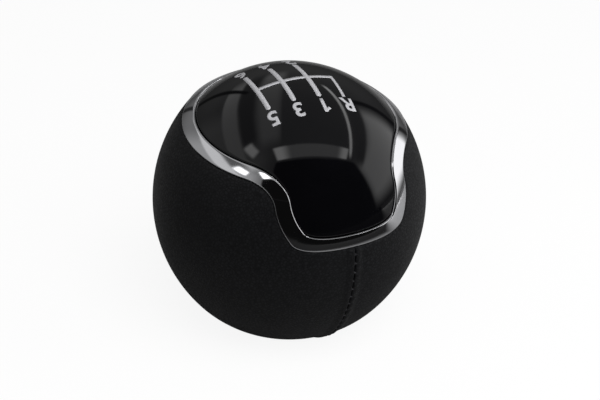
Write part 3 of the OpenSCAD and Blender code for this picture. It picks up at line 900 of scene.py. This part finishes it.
# %% Ring, cap and ink
def plating_material():
    """Mirror plating: hairlines and patches in the roughness, slow noise bends reflections."""
    material, tree, shader, place = blank_material("bright_plating")
    marks = place_group(tree, HANDLING, place, 90.0)
    patches, scratches = marks.outputs["Patches"], marks.outputs["Scratches"]
    colour(tree, shader, patches, (0.80, 0.80, 0.82), (0.74, 0.745, 0.77))
    shader.inputs["Metallic"].default_value = 1.0
    roughness(tree, shader, patches, 0.04, 0.08, scratches, 0.05)
    bump(tree, shader, noise_node(tree, place, 220.0), 0.05, 0.0002)
    return material


def gloss_material():
    """Piano black: almost no colour, wiping marks in the roughness, orange peel in the normal."""
    material, tree, shader, place = blank_material("piano_black")
    marks = place_group(tree, HANDLING, place, 70.0)
    patches, scratches = marks.outputs["Patches"], marks.outputs["Scratches"]
    colour(tree, shader, patches, (0.0015, 0.0015, 0.002), (0.0024, 0.0024, 0.003))
    roughness(tree, shader, patches, 0.035, 0.06, scratches, 0.03)
    shader.inputs["IOR"].default_value = 1.5
    bump(tree, shader, noise_node(tree, place, 500.0), 0.02, 0.0001)
    return material


def ink_material():
    """Pale grey ink: slightly mottled, with a soft satin surface."""
    material, tree, shader, place = blank_material("pale_ink")
    speckle = noise_node(tree, place, 2600.0, 3.0)
    colour(tree, shader, ramp(tree, speckle, 0.3, 0.7), (0.4, 0.4, 0.42), (0.48, 0.48, 0.5))
    roughness(tree, shader, speckle, 0.32, 0.45)
    bump(tree, shader, speckle, 0.1, 0.00002)
    return material


set_material(ring, plating_material())
set_material(cap, gloss_material())
ink = ink_material()
set_material(gate, ink)
set_material(numbers, ink)

# %% [markdown]
# The pieces inside and underneath are moulded, turned or stamped. Each kind gets one finish: a
# fine sparked texture on moulded plastic, turning rings on the socket, brushed steel for clip
# and screws, and dull rubber for the pad.

# %% Finishes of the carried-over pieces
def moulded_material(name, tone, rough):
    """Moulded plastic: a fine sparked texture and slightly uneven gloss."""
    material, tree, shader, place = blank_material(name)
    spark = noise_node(tree, place, 3200.0, 3.0)
    colour(tree, shader, spark, [c * 0.8 for c in tone], tone)
    roughness(tree, shader, spark, rough - 0.08, rough + 0.08)
    bump(tree, shader, spark, 0.25, 0.00005)
    return material


def metal_material(name, tone, rough, stretch):
    """Worked metal: noise stretched along the working direction gives the brushed lines."""
    material, tree, shader, place = blank_material(name)
    stretched = add_node(tree, "ShaderNodeMapping", {"Vector": place, "Scale": stretch})
    lines = noise_node(tree, stretched.outputs["Vector"], 1200.0, 4.0)
    colour(tree, shader, lines, [c * 0.75 for c in tone], tone)
    shader.inputs["Metallic"].default_value = 1.0
    roughness(tree, shader, lines, rough - 0.08, rough + 0.1)
    bump(tree, shader, lines, 0.2, 0.00004)
    return material


FINISHES = {
    "cap_carrier": moulded_material("carrier_plastic", (0.02, 0.02, 0.022), 0.5),
    "core_left": moulded_material("core_plastic", (0.035, 0.035, 0.037), 0.55),
    "bottom_collar": moulded_material("collar_plastic", (0.014, 0.014, 0.015), 0.45),
    "adapter_sleeve": moulded_material("sleeve_plastic", (0.6, 0.59, 0.54), 0.5),
    "lever_pad": moulded_material("pad_rubber", (0.01, 0.01, 0.01), 0.8),
    "lever_socket": metal_material("turned_socket", (0.55, 0.56, 0.58), 0.35, (1.0, 1.0, 12.0)),
    "retaining_clip": metal_material("spring_steel", (0.4, 0.41, 0.43), 0.35, (1.0, 1.0, 8.0)),
    "screw": metal_material("screw_steel", (0.5, 0.51, 0.53), 0.3, (6.0, 1.0, 1.0)),
}
FINISHES["core_right"] = FINISHES["core_left"]
finished = {n: FINISHES["screw"] if "screw" in n else FINISHES.get(n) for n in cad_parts}
finished = {n: finish for n, finish in finished.items() if finish}
for node_name, finish in finished.items():
    set_material(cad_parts[node_name], finish)
print("finished nodes:", len(finished))

# %% [markdown]
# The camera stands where the photograph was taken from: in front of the knob, a little to its
# left, looking down by about thirty degrees from 26 cm away, with the knob leaning slightly.
# The knob sits just off the picture's centre, which is a small shift of the lens.

# %% Camera
VIEW_SIDE = math.radians(-27.3)
VIEW_UP = math.radians(30.8)
VIEW_ROLL = math.radians(1.8)
VIEW_DISTANCE = 10.0 * BALL_R
PIXELS_PER_RADIUS = 136.1
IMAGE_W, IMAGE_H = 600, 400
BALL_PX = (289.3, 197.3)
SENSOR = 36.0


def aim_camera():
    """A camera on the line back from the ball's centre, turned about that line by the roll."""
    level = math.cos(VIEW_UP)
    back = Vector((math.sin(VIEW_SIDE) * level, -math.cos(VIEW_SIDE) * level, math.sin(VIEW_UP)))
    right = Vector((math.cos(VIEW_SIDE), math.sin(VIEW_SIDE), 0))
    up = back.cross(right)
    rolled_right = right * math.cos(VIEW_ROLL) + up * math.sin(VIEW_ROLL)
    rolled_up = up * math.cos(VIEW_ROLL) - right * math.sin(VIEW_ROLL)
    data = bpy.data.cameras.new("camera")
    data.sensor_width = SENSOR
    data.lens = PIXELS_PER_RADIUS * VIEW_DISTANCE / BALL_R / IMAGE_W * SENSOR
    data.shift_x = (IMAGE_W / 2 - BALL_PX[0]) / IMAGE_W
    data.shift_y = (BALL_PX[1] - IMAGE_H / 2) / IMAGE_W
    data.clip_start = 0.01
    camera = add_object("camera", data)
    place = Vector((0, 0, EQUATOR * MM)) + back * VIEW_DISTANCE * MM
    turn = Matrix((rolled_right, rolled_up, back)).transposed()
    camera.matrix_world = Matrix.Translation(place) @ turn.to_4x4()
    bpy.context.scene.camera = camera
    return camera


camera = aim_camera()
print("lens %.1f mm, shift %.4f %.4f" % (camera.data.lens, camera.data.shift_x, camera.data.shift_y))

# %% [markdown]
# The knob stands on a plain white table. To the camera the table is mostly white by itself, so
# that the background is even; the rest of it is lit, which keeps a faint shadow. To mirrors and to
# bounced light the table is a painted grey: dark further off to the front and left, which paints the
# dark reflection in the ring's tongue, and lighter behind and near the knob, which paints bounce
# light.

# %% Floor
FLOOR_R = 3.0
FLOOR_DOWN = 0.00005
WHITE, OWN_WHITE = 0.95, 0.9
DARK_PAINTED_GREY, LIGHT_PAINTED_GREY, NEAR_SHARE = 0.015, 0.35, 0.6
NEAR_R, NEAR_SOFT = 0.11, 0.03
BEHIND_TURN, BEHIND_SOFT = 0.75, 0.02


def floor_disc():
    """A flat disc just under the base face."""
    angle = np.linspace(0, 2 * math.pi, 97)[:-1]
    rim = np.stack([FLOOR_R * np.cos(angle), FLOOR_R * np.sin(angle), 0 * angle - FLOOR_DOWN], 1)
    mesh = bpy.data.meshes.new("floor")
    mesh.from_pydata(rim.tolist(), [], [tuple(range(len(rim)))])
    obj = add_object("floor", mesh)
    return obj


def floor_material():
    """To camera rays mostly its own white and a little lit white, to all others a painted grey.

    The grey is painted reflection and bounce light: dark, but light behind the line y + BEHIND_TURN *
    x = 0 and middling within NEAR_R.
    """
    material = bpy.data.materials.new("white_table")
    material.use_nodes = True
    tree = material.node_tree
    seen = tree.nodes.new("ShaderNodeLightPath").outputs["Is Camera Ray"]
    shader = tree.nodes["Principled BSDF"]
    position = tree.nodes.new("ShaderNodeNewGeometry").outputs["Position"]
    x, y = add_node(tree, "ShaderNodeSeparateXYZ", {0: position}).outputs[:2]
    squares = (math_node(tree, "MULTIPLY", v, v) for v in (x, y))
    distance = math_node(tree, "SQRT", math_node(tree, "ADD", *squares))
    # Painted reflection and bounce light: the grey that mirrors and bounced light see is dark to the
    # front and left, and lighter near the knob and behind it.
    off = step_up(tree, distance, NEAR_R, NEAR_SOFT)
    near_painted_grey = math_node(tree, "MULTIPLY", math_node(tree, "SUBTRACT", 1.0, off), NEAR_SHARE)
    turned = math_node(tree, "ADD", y, math_node(tree, "MULTIPLY", x, BEHIND_TURN))
    light = math_node(tree, "MAXIMUM", near_painted_grey, step_up(tree, turned, 0.0, BEHIND_SOFT))
    grey = spread(tree, light, DARK_PAINTED_GREY, LIGHT_PAINTED_GREY)
    tree.links.new(toward(tree, grey, seen, WHITE), shader.inputs["Base Color"])
    shader.inputs["Roughness"].default_value = 0.9
    shader.inputs["Specular IOR Level"].default_value = 0.0
    glow = add_node(tree, "ShaderNodeEmission", {"Strength": 1.0})
    share = math_node(tree, "MULTIPLY", seen, OWN_WHITE)
    mix = add_node(tree, "ShaderNodeMixShader", {0: share, 1: shader.outputs[0], 2: glow.outputs[0]})
    tree.links.new(mix.outputs[0], tree.nodes["Material Output"].inputs["Surface"])
    return material


set_material(floor_disc(), floor_material())

# %% [markdown]
# The knob is lit by a dim tent. A tent is never the same all round, and mirrors and piano black
# show it: here it has a wide opening towards the front, a strip over the opening that is bright
# at both ends, a dark ceiling panel with a thin bright edge, light flanks, one small bright gap
# to the left and two dark corner seams. The ceiling is a plane, so its patches are bounded by
# x / z and y / z, turned a little; the walls go by azimuth from the front and by elevation.

# %% Tent
CEILING_TURN = math.radians(15)
LEFT_LEAN, RIGHT_LEAN = 0.23, 0.19
LOW_WALL, HIGH_WALL, WALL_STEP = 0.06, 0.16, (10, 14)
LEAST_HEIGHT = 0.05
ANY = 10000.0
CEILING = (24, ANY, 6)
# Brightness, and in some coordinates the two edges and their softness. Later ones lie on top.
# Those that name no elevation are on the ceiling.
TENT_PATCHES = (
    (1.15, {"azimuth": (50, 108, 6), "elevation": (5, 34, 6)}),  # right wall
    (0.33, {"azimuth": (-150, -60, 12), "elevation": (14, 60, 10)}),  # left wall
    (0.6, {"left": (-1.2, -0.8, 0.05)}),  # light flank
    (0.1, {"left": (-0.78, -0.5, 0.06), "along": (-9, 0.1, 0.12)}),
    (0.5, {"left": (-0.45, -0.14, 0.08), "along": (-9, 0.2, 0.15)}),
    (  # dark panel
        0.17,
        {"left": (-0.13, ANY, 0.02), "right": (-ANY, 0.88, 0.02), "along": (-0.95, 0.3, 0.03)},
    ),
    (2.6, {"right": (0.9, 0.97, 0.02), "along": (-1.2, 0.45, 0.1)}),
    (0.14, {"right": (1.1, 1.5, 0.1), "along": (-1.2, 0.6, 0.2)}),
    (1.9, {"azimuth": (-98, -79, 3), "elevation": (51, 58, 1.5)}),  # gap to the left
    (0.02, {"azimuth": (114, 118, 1), "elevation": (-12, 34, 2)}),  # corner seams
    (0.02, {"azimuth": (-178.5, -175, 1), "elevation": (-12, 39, 2)}),
)
STRIP = {"across": (-0.33, 0.93, 0.03), "along": (0.31, 0.54, 0.02)}
STRIP_DIM, STRIP_BRIGHT, STRIP_MIDDLE = 0.6, 2.2, (-0.16, 0.76, 0.09)
OPENING, OPENING_AZIMUTH = 0.004, (-48, 49, 2)
OPENING_LOW, OPENING_ALONG = (30, 2), (0.58, 0.02)


def tent_world():
    """Brightness by direction, the same for all rays but the camera's, which see white."""
    world = bpy.data.worlds.new("tent")
    bpy.context.scene.world = world
    world.use_nodes = True
    tree = world.node_tree

    def calc(operation, a, b=None):
        """One Math node in this tree."""
        return math_node(tree, operation, a, b)

    direction = tree.nodes.new("ShaderNodeTexCoord").outputs["Generated"]
    side, back, height = add_node(tree, "ShaderNodeSeparateXYZ", {0: direction}).outputs
    front = calc("MULTIPLY", back, -1.0)
    above = calc("MAXIMUM", height, LEAST_HEIGHT)
    over_x, over_y = calc("DIVIDE", side, above), calc("DIVIDE", front, above)
    sin, cos = math.sin(CEILING_TURN), math.cos(CEILING_TURN)
    across = calc("ADD", calc("MULTIPLY", over_x, cos), calc("MULTIPLY", over_y, sin))
    along_y = calc("ADD", calc("MULTIPLY", over_x, -sin), calc("MULTIPLY", over_y, cos))
    places = {
        "azimuth": calc("MULTIPLY", calc("ARCTAN2", side, front), 180 / math.pi),
        "elevation": calc("MULTIPLY", calc("ARCSINE", height), 180 / math.pi),
        "across": across,
        "along": along_y,
        "left": calc("ADD", across, calc("MULTIPLY", along_y, LEFT_LEAN)),
        "right": calc("SUBTRACT", across, calc("MULTIPLY", along_y, RIGHT_LEAN)),
    }

    def masked(edges):
        """1 where every coordinate named lies between its edges."""
        edges = {"elevation": CEILING} | edges
        return both(tree, *(between(tree, places[name], *edge) for name, edge in edges.items()))

    value = spread(tree, step_up(tree, places["elevation"], *WALL_STEP), LOW_WALL, HIGH_WALL)
    for level, edges in TENT_PATCHES:
        value = toward(tree, value, masked(edges), level)
    # The strip over the opening is bright at both ends and dim between them
    strip = masked(STRIP)
    value = toward(tree, value, strip, STRIP_DIM)
    ends = calc("SUBTRACT", 1.0, between(tree, across, *STRIP_MIDDLE))
    value = toward(tree, value, both(tree, strip, ends), STRIP_BRIGHT)
    # The opening is everything low in front, and the ceiling beyond the strip
    low = calc("SUBTRACT", 1.0, step_up(tree, places["elevation"], *OPENING_LOW))
    beyond = both(tree, masked({}), step_up(tree, along_y, *OPENING_ALONG))
    in_front = between(tree, places["azimuth"], *OPENING_AZIMUTH)
    value = toward(tree, value, both(tree, calc("MAXIMUM", low, beyond), in_front), OPENING)
    seen = tree.nodes.new("ShaderNodeLightPath").outputs["Is Camera Ray"]
    background = tree.nodes["Background"]
    background.inputs["Color"].default_value = (1, 1, 1, 1)
    tree.links.new(toward(tree, value, seen, 1.0), background.inputs["Strength"])


tent_world()
print("tent patches:", len(TENT_PATCHES))

# %% [markdown]
# Three soft lamps light what isn't a mirror: the print from above and in front, the leather from
# the right and from the front. Mirrors don't show them, because the tent already has its lights.

# %% Lamps
def soft_lamp(name, place, target, size, power):
    """A square area lamp at a place in metres, facing a target, that mirrors don't show."""
    data = bpy.data.lights.new(name, "AREA")
    data.size = size
    data.energy = power
    lamp = add_object(name, data)
    lamp.location = place
    lamp.rotation_euler = (Vector(target) - Vector(place)).to_track_quat("-Z", "Y").to_euler()
    lamp.visible_glossy = False
    return lamp


KNOB_CENTRE = (0, 0, EQUATOR * MM)
soft_lamp("top_box", (0.0, -0.3, 0.45), KNOB_CENTRE, 0.4, 2.4)
soft_lamp("right_box", (0.45, -0.35, 0.1), KNOB_CENTRE, 0.3, 1.3)
soft_lamp("front_box", (0.12, -0.5, 0.03), KNOB_CENTRE, 0.3, 0.8)
bpy.context.scene.view_settings.view_transform = "Standard"
print("lamps:", len(bpy.data.lights))
